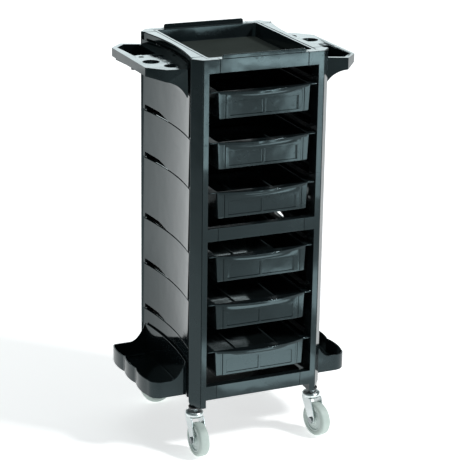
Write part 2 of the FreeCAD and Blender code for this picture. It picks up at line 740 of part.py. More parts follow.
def castor_socket():
    """Plastic sleeve in the post, around the stem axis at the origin."""
    sleeve = cylinder(SOCKET_R, foot_height - SOCKET_FLANGE, socket_top)
    flange = cylinder(SOCKET_FLANGE_R, foot_height - SOCKET_FLANGE, foot_height - JOINT_GAP)
    bore_start = foot_height - SOCKET_FLANGE - OVERLAP
    bore = cylinder(STEM_R + RUN_GAP, bore_start, socket_top - SOCKET_ROOF)
    return sleeve.fuse(flange).cut(bore)


def hexagon(across, z0, z1):
    radius = across / math.sqrt(3)
    turns = [math.radians(60 * index) for index in range(6)]
    return prism([(radius * math.cos(t), radius * math.sin(t)) for t in turns], z0, z1)


def castor_stem():
    """Stem with its hexagon and the king pin the fork turns on."""
    shaft = cylinder(STEM_R, head_top, stem_top)
    nut = hexagon(NUT_ACROSS, head_top + JOINT_GAP, foot_height - SOCKET_FLANGE - JOINT_GAP)
    king = cylinder(KING_R, rivet_bottom, head_top + OVERLAP)
    rivet = cylinder(KING_R + RIVET_EDGE, rivet_bottom, head_bottom - JOINT_GAP)
    return shaft.fuse([nut, king, rivet])


fork_inner = WHEEL_WIDTH / 2 + FORK_SIDE_GAP
fork_outer = fork_inner + FORK_THICK


def fork_leg():
    """Flat tapering leg at +X from the head to the axle."""
    top = head_bottom + LEG_SEAT
    front = -TRAIL - FORK_BOSS_R
    outline = [
        (LEG_INSET[0] - HEAD_R, top), (HEAD_R - LEG_INSET[1], top),
        (HEAD_R - LEG_STEP[0], top - LEG_STEP[1]), (FORK_BOSS_R - TRAIL, WHEEL_R),
        (front, WHEEL_R), (front + FORK_KNEE_IN, WHEEL_R + FORK_KNEE),
    ]
    wire = Part.makePolygon([Vector(fork_inner, y, z) for y, z in outline + outline[:1]])
    leg = Part.Face(wire).extrude(Vector(FORK_THICK, 0, 0))
    centre = Vector(fork_inner, -TRAIL, WHEEL_R)
    return leg.fuse(Part.makeCylinder(FORK_BOSS_R, FORK_THICK, centre, Vector(1, 0, 0)))


def castor_fork():
    """Swivel head and two legs; the axle is ahead of the swivel axis."""
    crown_top = head_bottom + HEAD_FILLET
    head = cylinder(HEAD_R, crown_top, head_top)
    down = Vector(0, 0, -1)
    head = head.fuse(
        Part.makeCone(HEAD_R, HEAD_R - HEAD_FILLET, HEAD_FILLET, Vector(0, 0, crown_top), down)
    )
    edges = [edge for edge in head.Edges if edge.BoundBox.ZMin > head_top - JOINT_GAP]
    head = head.makeFillet(HEAD_FILLET, edges)
    fork = head.fuse([fork_leg(), mirror_x(fork_leg())])
    fork = fork.cut(cylinder(KING_R + RUN_GAP, head_bottom - OVERLAP, head_top + OVERLAP))
    reach = fork_outer + OVERLAP
    centre = Vector(-reach, -TRAIL, WHEEL_R)
    return fork.cut(Part.makeCylinder(AXLE_R, 2 * reach, centre, Vector(1, 0, 0)))


def castor_axle():
    """Bolt through the fork with its head and nut."""
    reach = fork_outer + OVERLAP
    centre = Vector(-reach, -TRAIL, WHEEL_R)
    shaft = Part.makeCylinder(AXLE_R, 2 * reach, centre, Vector(1, 0, 0))
    ends = []
    for side in (-1, 1):
        end = hexagon(AXLE_NUT_ACROSS, 0, AXLE_NUT_HEIGHT)
        end.rotate(Vector(0, 0, 0), Vector(0, 1, 0), 90 * side)
        end.translate(Vector(side * fork_outer, -TRAIL, WHEEL_R))
        ends.append(end)
    return shaft.fuse(ends)


def wheel_section(points):
    """Ring turned about the axle from a section of (offset along axle, radius)."""
    placed = [Vector(offset, -TRAIL, WHEEL_R + radius) for offset, radius in points + points[:1]]
    face = Part.Face(Part.makePolygon(placed))
    return face.revolve(Vector(0, -TRAIL, WHEEL_R), Vector(1, 0, 0), 360)


def castor_wheel():
    """Hub with a recessed web and a rim that carries the tyre."""
    half = WHEEL_WIDTH / 2
    edge = half - HUB_WEB_EDGE
    web = half - HUB_RECESS
    bore = AXLE_R + RUN_GAP
    boss = AXLE_R + BOSS_WALL
    rim = HUB_R - RIM_WALL
    right = [
        (half, bore), (half, boss), (web, boss + BOSS_DRAFT), (web, rim - RIM_DRAFT),
        (edge, rim), (edge, HUB_R),
    ]
    left = [(-offset, radius) for offset, radius in reversed(right)]
    return wheel_section(right + left)


def castor_tyre():
    """Solid tyre with rounded shoulders."""
    half = WHEEL_WIDTH / 2
    right = [
        (half - HUB_WEB_EDGE, HUB_R), (half, HUB_R + TYRE_EDGE), (half, WHEEL_R - TYRE_SHOULDER),
        (half - TYRE_EDGE, WHEEL_R - TYRE_CHAMFER), (half - TYRE_SHOULDER, WHEEL_R),
    ]
    left = [(-offset, radius) for offset, radius in reversed(right)]
    return wheel_section(right + left)


# ---------------------------------------------------------------- write the pieces
post = corner_post()
for side, across in (("left", mirror_x), ("right", lambda shape: shape)):
    for end, along in (("front", mirror_y), ("rear", lambda shape: shape)):
        save("post_" + end + "_" + side, along(across(post)))

for level in BARS:
    save("crossbar_rear_" + level, cross_bar(level))
    save("crossbar_front_" + level, mirror_y(cross_bar(level)))

save("base_plate", base_plate())
save("top_tray", top_tray())
save("tray_mat", tray_mat())

save("side_panel_right", side_panel())
save("side_panel_left", mirror_x(side_panel()))
save("side_rail_right", side_rail())
save("side_rail_left", mirror_x(side_rail()))
save("lower_tray_right", lower_tray())
save("lower_tray_left", mirror_x(lower_tray()))
save("upper_holder_left", upper_holder())
save("upper_holder_right", turn_z(upper_holder(), 180))

for number, rim_z in enumerate(rims, start=1):
    save("drawer_" + str(number), drawer(rim_z))
    save("runner_" + str(number) + "_right", runner(rim_z))
    save("runner_" + str(number) + "_left", mirror_x(runner(rim_z)))

sockets = []
stems = []
for side, sign_x in (("left", -1), ("right", 1)):
    for end, sign_y in (("front", -1), ("rear", 1)):
        place = Vector(sign_x * stem_x, sign_y * stem_y, 0)
        for pieces, piece in ((sockets, castor_socket()), (stems, castor_stem())):
            piece.translate(place)
            pieces.append(piece)
        moving = {
            "fork": castor_fork(), "axle": castor_axle(),
            "wheel": castor_wheel(), "tyre": castor_tyre(),
        }
        corner = end + "_" + side
        for piece_name, piece in moving.items():
            turned = turn_z(piece, SWIVEL_REST[corner])
            turned.translate(place)
            save("castor_" + corner + "_" + piece_name, turned)
save("castor_sockets", Part.makeCompound(sockets))
save("castor_stems", Part.makeCompound(stems))
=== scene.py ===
# %% [markdown]
# # A salon trolley on four castors
# The cart is a frame of four posts and six cross bars. Six drawers slide in it, a recessed
# tray closes it above, holders hook on at the sides, and castors carry it.
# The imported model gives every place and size. Each visible piece is made here as a
# numpy surface around those places, and rides on the body that moves it.

import json
import math

import bmesh
import bpy
import numpy as np
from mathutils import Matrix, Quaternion, Vector


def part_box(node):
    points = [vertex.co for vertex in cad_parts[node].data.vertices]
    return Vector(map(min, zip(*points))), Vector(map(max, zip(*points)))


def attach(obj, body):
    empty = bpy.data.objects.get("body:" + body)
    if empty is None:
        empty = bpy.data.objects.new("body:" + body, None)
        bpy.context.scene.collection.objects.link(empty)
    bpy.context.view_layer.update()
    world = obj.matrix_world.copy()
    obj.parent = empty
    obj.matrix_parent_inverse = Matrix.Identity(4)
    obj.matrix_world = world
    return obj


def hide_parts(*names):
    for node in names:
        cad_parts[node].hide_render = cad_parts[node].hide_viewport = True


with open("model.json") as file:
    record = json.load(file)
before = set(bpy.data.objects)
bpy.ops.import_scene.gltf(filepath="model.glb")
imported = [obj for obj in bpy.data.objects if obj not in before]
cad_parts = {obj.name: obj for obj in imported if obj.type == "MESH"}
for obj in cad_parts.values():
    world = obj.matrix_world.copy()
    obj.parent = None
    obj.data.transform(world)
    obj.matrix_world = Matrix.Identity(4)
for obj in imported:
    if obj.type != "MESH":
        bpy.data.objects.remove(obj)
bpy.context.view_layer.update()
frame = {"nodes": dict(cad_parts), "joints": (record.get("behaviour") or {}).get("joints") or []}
MM = 0.001
joints = {joint["name"]: joint for joint in frame["joints"]}


# %% [markdown]
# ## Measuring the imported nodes
# A piece has to sit where its node sits. Copying numbers by hand would drift apart from the
# model when a size changes, so each place is read from the node's own box, in millimetres.

# %% Boxes in millimetres
def box_mm(node):
    """Lowest and highest corner of a node, as two rows of millimetres."""
    return np.array([list(corner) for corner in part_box(node)]) / MM


post_low, post_high = box_mm("post_rear_right")
tray_low, tray_high = box_mm("top_tray")
print("post from", post_low.round(1), "to", post_high.round(1))


# %% [markdown]
# ## Skins made of rings
# Most moulded pieces can be made as a closed outline that is repeated at several levels:
# up the outside, over the rim, down the inside. Primitives and booleans leave hard edges
# and messy faces. Rings of equal count give clean quads, and a rounded edge is only
# a few more rings.

# %% Ring helpers
def outward(points):
    """Mitred outward normals of a counter-clockwise outline: (n0 + n1) / (1 + n0.n1),
    with n0 and n1 the normals of the edges that meet, so parallel walls stay parallel."""
    edge = np.roll(points, -1, axis=0) - points
    edge = edge / np.linalg.norm(edge, axis=1)[:, None]
    after = np.stack([edge[:, 1], -edge[:, 0]], axis=1)
    before = np.roll(after, 1, axis=0)
    dot = (before * after).sum(axis=1)[:, None]
    return (before + after) / (1 + dot)


def rounded(corners, radius, steps=5):
    """Closed outline whose corners are arcs: the centre lies r (n0 + n1) / (1 + n0.n1)
    inside the corner, or outside a hollow one, and the normal turns evenly from n0 to n1."""
    corners = np.asarray(corners, float)
    edge = np.roll(corners, -1, axis=0) - corners
    edge = edge / np.linalg.norm(edge, axis=1)[:, None]
    after = np.stack([edge[:, 1], -edge[:, 0]], axis=1)
    before = np.roll(after, 1, axis=0)
    dot = (before * after).sum(axis=1)
    cross = before[:, 0] * after[:, 1] - before[:, 1] * after[:, 0]
    turn = np.arctan2(cross, dot)
    signed = np.broadcast_to(np.asarray(radius, float), turn.shape) * np.sign(turn)
    centre = corners - signed[:, None] * (before + after) / (1 + dot)[:, None]
    angle = np.arctan2(before[:, 1], before[:, 0])[:, None] + turn[:, None] * np.linspace(0, 1, steps)
    spoke = np.stack([np.cos(angle), np.sin(angle)], axis=2)
    return (centre[:, None] + signed[:, None, None] * spoke).reshape(-1, 2)


def skin(rings):
    """Closed skin through rings of equal count: quads between neighbours, a cap at each end.
    Rings run counter-clockwise seen from the side that the last cap faces."""
    count = len(rings[0])
    points = np.concatenate(rings)
    along = np.arange(count)
    ahead = np.roll(along, -1)
    start = (np.arange(len(rings) - 1) * count)[:, None]
    quads = np.stack([start + along, start + ahead, start + count + ahead, start + count + along], axis=2)
    faces = quads.reshape(-1, 4).tolist()
    faces.append(along[::-1].tolist())
    faces.append((along + (len(rings) - 1) * count).tolist())
    return points, faces


def carry(outline, levels):
    """The outline repeated at each (inset, height): ring = outline - inset * normal.
    A height or an inset may be one number, or one number for each point."""
    outline = np.asarray(outline, float)
    normal = outward(outline)
    rings = []
    for inset, height in levels:
        flat = outline - normal * np.broadcast_to(inset, len(outline))[:, None]
        rings.append(np.column_stack([flat, np.broadcast_to(height, len(outline))]))
    return skin(rings)


def slab_levels(low, high, edge, steps=4):
    """Levels of a solid slab with quarter-round edges: inset = r (1 - sin t)."""
    t = np.linspace(0, math.pi / 2, steps)
    drawn = edge * (1 - np.sin(t))
    rise = edge * (1 - np.cos(t))
    return list(zip(drawn, low + rise)) + list(zip(drawn[::-1], high - rise[::-1]))


def slab(x0, x1, y0, y1, z0, z1, corner=1.0, edge=0.8):
    """Block with rounded upright corners and quarter-round edges above and below."""
    corners = [(x0, y0), (x1, y0), (x1, y1), (x0, y1)]
    return carry(rounded(corners, corner), slab_levels(z0, z1, edge))


def join(*shapes):
    """Several skins as one: faces are shifted by the points that come before them."""
    points, faces, count = [], [], 0
    for shape_points, shape_faces in shapes:
        points.append(shape_points)
        faces += [[index + count for index in face] for face in shape_faces]
        count += len(shape_points)
    return np.concatenate(points), faces


def mirrored(shape, axis):
    """The shape reflected across the plane of one axis, its faces wound the other way."""
    points, faces = shape
    sign = np.ones(3)
    sign[axis] = -1
    return points * sign, [face[::-1] for face in faces]


def turned(shape, degrees, place=(0, 0, 0)):
    """The shape turned about the upright axis, then moved."""
    a = math.radians(degrees)
    matrix = np.array([[math.cos(a), -math.sin(a), 0], [math.sin(a), math.cos(a), 0], [0, 0, 1]])
    return shape[0] @ matrix.T + np.array(place), shape[1]


def on_side(shape):
    """A skin laid on its side: (x, y, z) becomes (z, x, y), which turns it and doesn't mirror."""
    return shape[0][:, [2, 0, 1]], shape[1]


print("ring helpers ready")


# %% [markdown]
# ## Moulded plastic, rubber and plated steel
# The frame and the drawers are glossy black moulding. Real gloss is never one number: the
# surface waves a little, thin scuffs break the shine, and dust greys it in patches. Image
# textures would show their resolution, so noise on object coordinates drives all three.

# %% Node helpers
IOR = 1.5


def node(tree, kind, place, **values):
    """A shader node with its settings and socket values filled in."""
    made = tree.nodes.new(kind)
    made.location = place
    for key, value in values.items():
        if key in made.inputs:
            made.inputs[key].default_value = value
        else:
            setattr(made, key, value)
    return made


def ramp(tree, source, place, stops):
    """Colour ramp through (position, grey or colour) stops, fed by source."""
    made = node(tree, "ShaderNodeValToRGB", place)
    elements = made.color_ramp.elements
    while len(elements) < len(stops):
        elements.new(0.5)
    for element, (position, colour) in zip(elements, stops):
        element.position = position
        element.color = (*colour, 1) if isinstance(colour, tuple) else (colour, colour, colour, 1)
    tree.links.new(source, made.inputs["Fac"])
    return made.outputs["Color"]


def finish(name, dark, light, rough, patch=9.0, grain=420.0, wave=0.0, wave_size=24.0,
           grain_depth=0.0, scuff=0.0, metallic=0.0):
    """Material of one moulding: patches between two colours, roughness between two values
    with scuffs that dull it, and a surface that waves slowly and grains finely."""
    made = bpy.data.materials.new(name)
    made.use_nodes = True
    tree = made.node_tree
    shader = tree.nodes["Principled BSDF"]
    shader.inputs["Metallic"].default_value = metallic
    shader.inputs["IOR"].default_value = IOR
    made.diffuse_color = (*light, 1)
    where = node(tree, "ShaderNodeTexCoord", (-1200, 0)).outputs["Object"]

    def noise(scale, place, detail=3.0, stretch=None):
        source = where
        if stretch:
            mapped = node(tree, "ShaderNodeMapping", (place[0] - 200, place[1]), Scale=stretch)
            tree.links.new(where, mapped.inputs["Vector"])
            source = mapped.outputs["Vector"]
        made_noise = node(tree, "ShaderNodeTexNoise", place, Scale=scale, Detail=detail)
        tree.links.new(source, made_noise.inputs["Vector"])
        return made_noise.outputs["Fac"]

    patches = noise(patch, (-900, 300), 5.0)
    colour = ramp(tree, patches, (-600, 300), [(0.3, dark), (0.75, light)])
    tree.links.new(colour, shader.inputs["Base Color"])
    dull = ramp(tree, patches, (-600, 0), [(0.3, rough[0]), (0.8, rough[1])])
    if scuff:
        lines = noise(1.0, (-900, -250), 8.0, (90, 14, 160))
        marks = ramp(tree, lines, (-600, -250), [(0.6, 0.0), (0.7, scuff)])
        added = node(tree, "ShaderNodeMath", (-300, 0), operation="ADD")
        tree.links.new(dull, added.inputs[0])
        tree.links.new(marks, added.inputs[1])
        dull = added.outputs[0]
    tree.links.new(dull, shader.inputs["Roughness"])
    normal = None
    for depth, scale, place in ((wave, wave_size, (-900, -550)), (grain_depth, grain, (-900, -800))):
        if depth:
            beside = (place[0] + 450, place[1])
            bump = node(tree, "ShaderNodeBump", beside, Strength=1.0, Distance=depth * MM)
            tree.links.new(noise(scale, place, 2.0), bump.inputs["Height"])
            if normal:
                tree.links.new(normal, bump.inputs["Normal"])
            normal = bump.outputs["Normal"]
    if normal:
        tree.links.new(normal, shader.inputs["Normal"])
    return made


# %% The finishes
gloss_black = finish("moulded_gloss", (0.006, 0.009, 0.010), (0.012, 0.017, 0.019), (0.07, 0.15),
                     wave=0.9, wave_size=13.0, grain_depth=0.004, grain=900.0, scuff=0.1)
satin_black = finish("moulded_satin", (0.012, 0.013, 0.014), (0.022, 0.024, 0.025), (0.32, 0.45),
                     grain_depth=0.03, grain=1500.0, scuff=0.1)
rubber_mat = finish("ribbed_rubber", (0.020, 0.027, 0.023), (0.034, 0.043, 0.039), (0.8, 0.95),
                    grain_depth=0.12, grain=700.0, patch=14.0)
rubber_mat.node_tree.nodes["Principled BSDF"].inputs["Specular IOR Level"].default_value = 0.2
socket_black = finish("socket_plastic", (0.011, 0.012, 0.014), (0.020, 0.021, 0.024), (0.3, 0.42),
                      grain_depth=0.02, grain=1200.0)
brushed_steel = finish("turned_steel", (0.24, 0.26, 0.27), (0.42, 0.45, 0.46), (0.28, 0.42),
                       grain_depth=0.02, grain=1800.0, metallic=1.0, scuff=0.1)
bright_zinc = finish("plated_zinc", (0.66, 0.72, 0.72), (0.82, 0.88, 0.88), (0.2, 0.34),
                     wave=0.15, wave_size=60.0, grain_depth=0.01, grain=1500.0, metallic=1.0, scuff=0.08)
pale_hub = finish("hub_plastic", (0.60, 0.69, 0.66), (0.74, 0.82, 0.79), (0.3, 0.42),
                  grain_depth=0.01, grain=1400.0, patch=40.0)
grey_tyre = finish("tyre_rubber", (0.50, 0.58, 0.54), (0.62, 0.70, 0.66), (0.45, 0.6),
                   grain_depth=0.03, grain=1200.0, patch=30.0)
gloss_black.node_tree.nodes["Principled BSDF"].inputs["Specular Tint"].default_value = (0.72, 0.95, 1.0, 1)
print("finishes:", [m.name for m in bpy.data.materials])


# %% Put a shape into the scene
SHARP = 40.0


def put(name, shape, material, body, *nodes):
    """Makes a mesh from a shape in millimetres, smooth up to the sharp angle, and lets it
    ride on its body in place of the nodes it stands for."""
    points, faces = shape
    mesh = bpy.data.meshes.new(name)
    mesh.from_pydata((points * MM).tolist(), [], faces)
    mesh.validate()
    mesh.materials.append(material)
    mesh.shade_smooth()
    mesh.set_sharp_from_angle(angle=math.radians(SHARP))
    piece = bpy.data.objects.new(name, mesh)
    bpy.context.scene.collection.objects.link(piece)
    weight = piece.modifiers.new("flat faces stay flat", "WEIGHTED_NORMAL")
    weight.keep_sharp = True
    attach(piece, body)
    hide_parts(*nodes)
    return piece


# %% [markdown]
# ## The posts
# Each post is a narrow front strip, a shallow groove, and a wide wing that turns back at an
# angle. Its foot tapers towards the castor. Stubs stand out of it where the bars plug in.
# The plan outline is carried upward, and only the wing's side of it draws in at the foot.

# %% Posts
WING_GROOVE = 1.3
WING_DEPTH = 22.5
STUB_DEPTH = 16.0
FOOT_TAPER = 14.0
FOOT_DRAW = 5.0
EDGE_X = 136.0
OPENING = 123.0
BAR_LEVELS = {level: box_mm(f"crossbar_rear_{level}") for level in ("bottom", "middle", "top")}


def post_shape():
    """The post at the rear right: an outline in eight corners carried from foot to top."""
    x1, y0, y1 = post_high[0], post_low[1], post_high[1]
    low, high = post_low[2], post_high[2]
    wing_y = y1 - WING_DEPTH
    corners = [
        (OPENING, y0), (EDGE_X + 9.5, y0),
        (x1 - 2 * WING_GROOVE, wing_y - 2 * WING_GROOVE), (x1, wing_y),
        (EDGE_X + WING_GROOVE / 2, y1 - WING_GROOVE / 2), (EDGE_X - WING_GROOVE / 2, y1 - WING_GROOVE),
        (EDGE_X - WING_GROOVE, y1), (OPENING, y1),
    ]
    outline = rounded(corners, [0.6, 0.8, 0.8, 1.6, 0.5, 0.2, 0.4, 0.5])
    draw = FOOT_DRAW * np.clip((outline[:, 0] - EDGE_X + 4) / 20, 0, 1)
    levels = [(0.8 + draw, low), (0.2 + draw * 0.97, low + 0.5), (draw * 0.9, low + 1.2)]
    for share in np.linspace(0.2, 1, 6):
        levels.append((draw * (1 - share) ** 1.6, low + 1.2 + (FOOT_TAPER - 1.2) * share))
    levels += slab_levels(low, high, 1.0)[4:]
    shape = carry(outline, levels)
    stubs = []
    for bar_low, bar_high in BAR_LEVELS.values():
        top = min(bar_high[2], high)
        stubs.append(slab(post_low[0], OPENING + 2, y1 - STUB_DEPTH, y1 - 0.02, bar_low[2], top))
    return join(shape, *stubs)


rear_right_post = post_shape()
for end in ("front", "rear"):
    for side in ("left", "right"):
        shape = rear_right_post
        if side == "left":
            shape = mirrored(shape, 0)
        if end == "front":
            shape = mirrored(shape, 1)
        put(f"post_{end}_{side}_skin", shape, gloss_black, "cabinet", f"post_{end}_{side}")
print("post skin:", len(rear_right_post[0]), "points")


# %% [markdown]
# ## The cross bars
# A bar is a plain moulded block with softened edges; its tongues are hidden in the stubs, so
# only the length between the stubs shows. The top bars carry a thin lip that stops things
# rolling off. The lip is an outline seen from the front, carried through its thickness.

# %% Cross bars
TONGUE = 12.0
LIP_HALF = 94.0
LIP_THICK = 3.0
LIP_INSET = 2.0
LIP_CORNER = 5.0
for level, (bar_low, bar_high) in BAR_LEVELS.items():
    half = bar_high[0] - TONGUE
    top = min(bar_high[2], post_high[2])
    shape = slab(-half, half, bar_low[1], bar_high[1], bar_low[2], top, corner=0.9, edge=0.9)
    if level == "top":
        lip_back = bar_high[1] - LIP_INSET
        corners = [
            (-LIP_HALF, top - 1), (LIP_HALF, top - 1), (LIP_HALF, bar_high[2]), (-LIP_HALF, bar_high[2]),
        ]
        outline = rounded(corners, [0.3, 0.3, LIP_CORNER, LIP_CORNER], 7)
        lip = carry(outline, slab_levels(-lip_back, LIP_THICK - lip_back, 1.2))
        lip = (lip[0][:, [0, 2, 1]] * np.array([1, -1, 1]), lip[1])
        shape = join(shape, lip)
    put(f"crossbar_rear_{level}_skin", shape, gloss_black, "cabinet", f"crossbar_rear_{level}")
    shape = mirrored(shape, 1)
    put(f"crossbar_front_{level}_skin", shape, gloss_black, "cabinet", f"crossbar_front_{level}")
print("bars:", list(BAR_LEVELS))


# %% [markdown]
# ## The side panels
# The panel bends in towards the middle of the cart and is moulded in six tilted bands, each
# standing proud of the one above. Over every line there's a slot, thin at the front and tall
# at the rear. A boolean would cut it ragged, so the band's lower edge itself rises over it.

# %% Side panels
PANEL_SAG = 11.0
PANEL_DEEP = 6.0
BAND_TILT = 2.4
BAND_GROOVE = 4.0
SLOT_FRONT, SLOT_SHOULDER, SLOT_REAR = 19.5, 58.4, 121.9
SLOT_TALL = 10.0
STRIP_HALF = 3.0
panel_low, panel_high = box_mm("side_panel_right")
span_half = panel_high[1]
drawer_rims = [box_mm(f"drawer_{number}")[1][2] for number in range(1, 7)]
band_lines = [rim + 4.0 for rim in drawer_rims[1:]]


def bend(y, sag=PANEL_SAG):
    """How far a bowed side stands in at depth y: sag (1 - (y / half span)^2)."""
    return sag * (1 - (y / span_half) ** 2)


def bowed(profile, depths, lift=None):
    """A closed profile of (x, z) carried along the depth and bent in by the sag. Lift gives
    for each depth how far the profile's points marked in its third column rise."""
    profile = np.asarray(profile, float)
    rings = []
    for index, y in enumerate(depths):
        rise = 0.0 if lift is None else profile[:, 2] * lift[index]
        x = profile[:, 0] - bend(y)
        rings.append(np.column_stack([x, np.full(len(x), y), profile[:, 1] + rise]))
    return skin(rings)


def band_profile(inner, low, high):
    """Section of one band, run clockwise in (x, z) so that its skin faces outward."""
    outer = panel_high[0]
    section = [(inner, low), (outer, low), (outer - BAND_TILT, high), (inner, high)]
    smooth = rounded(section, [0.4, 1.3, 1.3, 0.4], 5)
    marked = (smooth[:, 1] < low + 3.0).astype(float)
    return np.column_stack([smooth, marked])[::-1]


plain_depths = np.linspace(-span_half, span_half, 27)
SLOT_TOE = 6.0
slot_turns = [SLOT_FRONT, SLOT_FRONT + SLOT_TOE, SLOT_SHOULDER, SLOT_REAR - 1, SLOT_REAR, SLOT_REAR + 0.01]
slot_depths = np.unique(np.concatenate([plain_depths, slot_turns, [SLOT_REAR - 0.3]]))
slot_lift = np.interp(
    slot_depths, slot_turns, [0.0, 1.6, SLOT_TALL * 0.8, SLOT_TALL, SLOT_TALL - 1, 0.0],
)
slot_lift[(slot_depths <= SLOT_FRONT) | (slot_depths > SLOT_REAR)] = 0.0


def panel_shape():
    """Six bands with their slots, and a strip behind each line beside the slot."""
    inner = panel_high[0] - PANEL_DEEP
    edges = [panel_high[2], *band_lines, panel_low[2]]
    parts = []
    for index, (upper, lower) in enumerate(zip(edges[:-1], edges[1:])):
        high = upper - (BAND_GROOVE / 2 if index else 0)
        last = index == len(edges) - 2
        low = lower + (0 if last else BAND_GROOVE / 2)
        profile = band_profile(inner, low, high)
        parts.append(bowed(profile, plain_depths) if last else bowed(profile, slot_depths, slot_lift))
    near, far = inner + 0.3, inner + 1.8
    for line in band_lines:
        low, high = line - STRIP_HALF, line + STRIP_HALF
        strip = np.array([(near, high), (far, high), (far, low), (near, low)])
        for start, stop in ((-span_half + 0.2, SLOT_FRONT), (SLOT_REAR, span_half - 0.2)):
            parts.append(bowed(strip, np.linspace(start, stop, 14)))
    return join(*parts)


right_panel = panel_shape()
put("side_panel_right_skin", right_panel, gloss_black, "cabinet", "side_panel_right")
put("side_panel_left_skin", mirrored(right_panel, 0), gloss_black, "cabinet", "side_panel_left")
print("panel bands from", panel_low[2], "to", panel_high[2])


# %% [markdown]
# ## Rails, top tray and mat
# The rails close the top at the sides: straight where they meet the tray, bowed outside.
# The tray is a vacuum-formed tub with a turned-out rim and soft inner corners. Its rings are
# rounded rectangles that shrink, drop and shrink again. The mat is a thin rubber sheet.

# %% Side rails
RAIL_SAG = 13.0
rail_low, rail_high = box_mm("side_rail_right")
rail_depths = np.linspace(-span_half, span_half, 31)
rail_outer = np.column_stack([rail_high[0] - bend(rail_depths, RAIL_SAG), rail_depths])
rail_outline = np.concatenate([[(rail_low[0], span_half), (rail_low[0], -span_half)], rail_outer])
rail = carry(rail_outline, slab_levels(rail_low[2], rail_high[2], 2.0, 6))
put("side_rail_right_skin", rail, gloss_black, "cabinet", "side_rail_right")
put("side_rail_left_skin", mirrored(rail, 0), gloss_black, "cabinet", "side_rail_left")


# %% Top tray and mat
def rect_ring(half_x, half_y, corner, z):
    """Rounded rectangle at one height, counter-clockwise from above."""
    corners = [(-half_x, -half_y), (half_x, -half_y), (half_x, half_y), (-half_x, half_y)]
    flat = rounded(corners, corner, 7)
    return np.column_stack([flat, np.full(len(flat), z)])


def tub_rings(steps):
    """Rings from (draw-in from the rim, corner radius, height) rows of the top tray."""
    half_x, half_y = tray_high[:2]
    return [rect_ring(half_x - drawn, half_y - drawn, corner, z) for drawn, corner, z in steps]


tray_top = tray_high[2]
tray_floor = tray_low[2] + 2.5
tray_shape = skin(tub_rings([
    (6.4, 5.0, tray_low[2]), (4.4, 5.5, tray_low[2] + 0.5), (3.4, 6.0, tray_low[2] + 2.5),
    (3.4, 6.0, tray_top - 2.5), (0.6, 3.0, tray_top - 2.4), (0.0, 2.5, tray_top - 1.9),
    (0.0, 2.5, tray_top - 0.8), (0.3, 2.3, tray_top - 0.2), (0.9, 2.0, tray_top),
    (5.0, 6.0, tray_top), (5.6, 6.0, tray_top - 0.3), (5.9, 6.5, tray_top - 1.0),
    (9.2, 8.0, tray_floor + 3.0), (9.7, 8.0, tray_floor + 1.6), (10.5, 7.0, tray_floor + 0.4),
    (12.0, 6.0, tray_floor),
]))
put("top_tray_skin", tray_shape, gloss_black, "cabinet", "top_tray")
mat_low, mat_high = box_mm("tray_mat")
mat_levels = slab_levels(mat_low[2], mat_high[2], 0.9)
mat_shape = carry(rect_ring(mat_high[0], mat_high[1], 7.0, 0.0)[:, :2], mat_levels)
put("tray_mat_sheet", mat_shape, rubber_mat, "cabinet", "tray_mat")
print("tray floor at", tray_floor.round(1), "mat top at", mat_high[2].round(1))


# %% [markdown]
# ## The drawers
# A drawer is a deep tub with a rim flange that slides in the runners and a pull lip that bows
# forward. Its front carries a raised panel with a sunken field and a centre rib, between two
# corner strips. The tub and the lip share rings of equal count, so the wall flows into the lip.

# %% Drawer tub and lip
TUB_HALF = 104.5
TUB_TAPER = 3.0
TUB_WALL = 2.4
RIM_THICK = 2.6
LIP_BOW = 20.0
LIP_DROP = 6.0
FRONT_POINTS, CORNER_POINTS, SIDE_POINTS = 41, 6, 9
drawer_low, drawer_high = box_mm("drawer_1")
flange_half = drawer_high[0]
drawer_front = -post_high[1]
drawer_back = drawer_high[1]
drawer_height = (drawer_high - drawer_low)[2].round(3)


def tub_outline(half, drawn, corner):
    """Rounded rectangle of the tub with a set count of points on each edge and corner,
    starting at the front left and running counter-clockwise."""
    front, back = drawer_front + drawn, drawer_back - drawn
    along = np.linspace(-1, 1, FRONT_POINTS) * (half - corner)
    deep = np.linspace(front + corner, back - corner, SIDE_POINTS)
    turn = np.linspace(0, math.pi / 2, CORNER_POINTS + 2)[1:-1]
    sweep, rest = corner * np.sin(turn), corner * (1 - np.cos(turn))
    right = half - corner
    edges = [
        np.column_stack([along, np.full(FRONT_POINTS, front)]),
        np.column_stack([right + sweep, front + rest]),
        np.column_stack([np.full(SIDE_POINTS, half), deep]),
        np.column_stack([right + sweep[::-1], back - rest[::-1]]),
        np.column_stack([along[::-1], np.full(FRONT_POINTS, back)]),
        np.column_stack([-right - sweep, back - rest]),
        np.column_stack([np.full(SIDE_POINTS, -half), deep[::-1]]),
        np.column_stack([-right - sweep[::-1], front + rest[::-1]]),
    ]
    return np.concatenate(edges)


def lip_outline():
    """The rim's own outline with the same counts: the front bows out by b (1 - (x / half)^2),
    and the corner points run along the flange beside the posts."""
    base = tub_outline(flange_half, 0.0, 2.0)
    x = np.linspace(-1, 1, FRONT_POINTS) * (TUB_HALF - 1.0)
    base[:FRONT_POINTS] = np.column_stack([x, drawer_front - LIP_BOW * (1 - (x / TUB_HALF) ** 2)])
    run = np.array([(105.5, 0.02), (111.0, 0.0), (115.0, 0.0), (118.4, 0.1), (119.5, 0.5), (119.95, 1.2)])
    run = run + np.array([flange_half - 120.0, drawer_front])
    corner = slice(FRONT_POINTS, FRONT_POINTS + CORNER_POINTS)
    base[corner] = run
    base[-CORNER_POINTS:] = run[::-1] * np.array([-1, 1])
    return base


